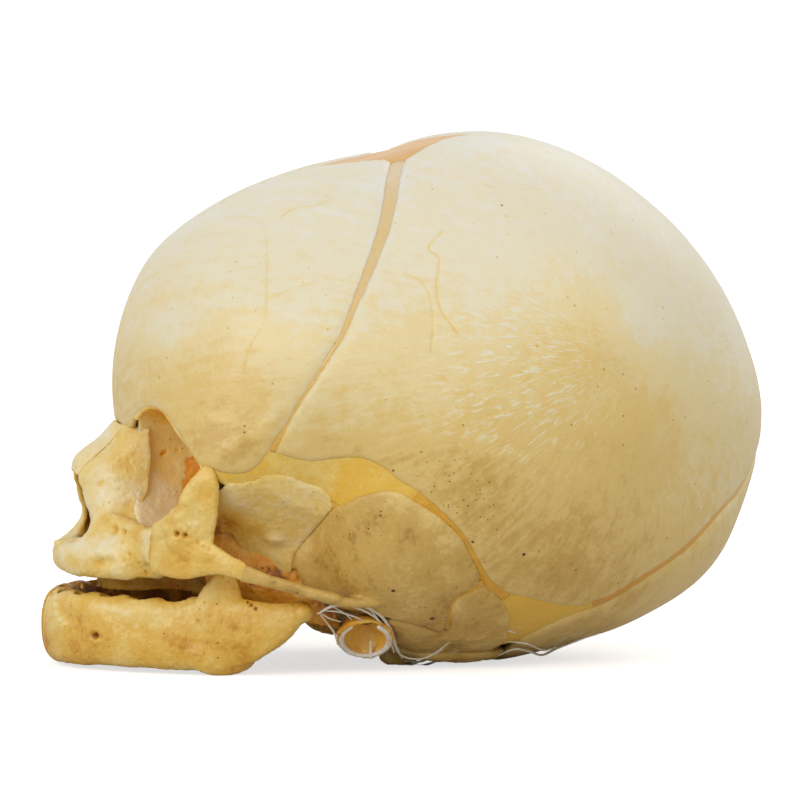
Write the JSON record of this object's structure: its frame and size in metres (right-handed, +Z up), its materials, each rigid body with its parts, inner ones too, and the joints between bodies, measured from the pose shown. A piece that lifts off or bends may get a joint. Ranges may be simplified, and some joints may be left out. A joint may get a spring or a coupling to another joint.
{
  "type": "fetal skull",
  "caption": "Dry fetal skull near term, built bone by bone, with open sutures, fontanelle membranes and a hinged mandible.",
  "frame": {"origin": "bottom centre of the bounding box, on the plane that the skull stands on", "axes": "-X is where the face looks, -Y is the skull's left side, +Z is up as the skull stands on a table"},
  "size_m": [0.1278, 0.0914, 0.0934],
  "materials": {
    "bone_pale": "dry ivory bone, satin",
    "bone_warm": "dry yellowed bone, satin",
    "bone_amber": "dry amber bone, satin",
    "membrane": "dried membrane, half gloss",
    "cartilage": "dried cartilage, half gloss"
  },
  "bodies": {
    "cranium": {"frontal_left": "bone_pale", "frontal_right": "bone_pale", "parietal_left": "bone_pale", "parietal_right": "bone_pale", "occipital_squama": "bone_pale", "temporal_squama_left": "bone_warm", "temporal_squama_right": "bone_warm", "petrous_left": "bone_amber", "petrous_right": "bone_amber", "tympanic_ring_left": "bone_warm", "tympanic_ring_right": "bone_warm", "greater_wing_left": "bone_warm", "greater_wing_right": "bone_warm", "sphenoid_body": "bone_amber", "occipital_basilar": "bone_amber", "clivus_cartilage": "cartilage", "occipital_lateral_left": "bone_amber", "occipital_lateral_right": "bone_amber", "metopic_suture": "membrane", "sagittal_suture": "membrane", "coronal_suture_left": "membrane", "coronal_suture_right": "membrane", "lambdoid_suture_left": "membrane", "lambdoid_suture_right": "membrane", "squamosal_suture_left": "membrane", "squamosal_suture_right": "membrane", "anterior_fontanelle": "membrane", "posterior_fontanelle": "membrane", "sphenoidal_fontanelle_left": "membrane", "sphenoidal_fontanelle_right": "membrane", "mastoid_fontanelle_left": "membrane", "mastoid_fontanelle_right": "membrane", "maxilla_left": "bone_warm", "maxilla_right": "bone_warm", "zygomatic_left": "bone_warm", "zygomatic_right": "bone_warm", "nasal_bone_left": "bone_warm", "nasal_bone_right": "bone_warm", "nasal_concha_left": "bone_amber", "nasal_concha_right": "bone_amber", "nasal_septum": "bone_amber", "vomer": "bone_amber", "lacrimal_left": "bone_amber", "lacrimal_right": "bone_amber", "ethmoid_labyrinth_left": "bone_amber", "ethmoid_labyrinth_right": "bone_amber", "palatine_left": "bone_amber", "palatine_right": "bone_amber", "jaw_pad_left": "cartilage", "jaw_pad_right": "cartilage"},
    "mandible": {"mandible_left": "bone_warm", "mandible_right": "bone_warm", "mandible_symphysis": "cartilage"}
  },
  "joints": [
    {"name": "jaw_hinge", "type": "hinge", "parent": "cranium", "child": "mandible", "pos_m": [-0.0213, 0, 0.0115], "axis": [0, -1, 0], "range_deg": [-2.5, 26]}
  ]
}
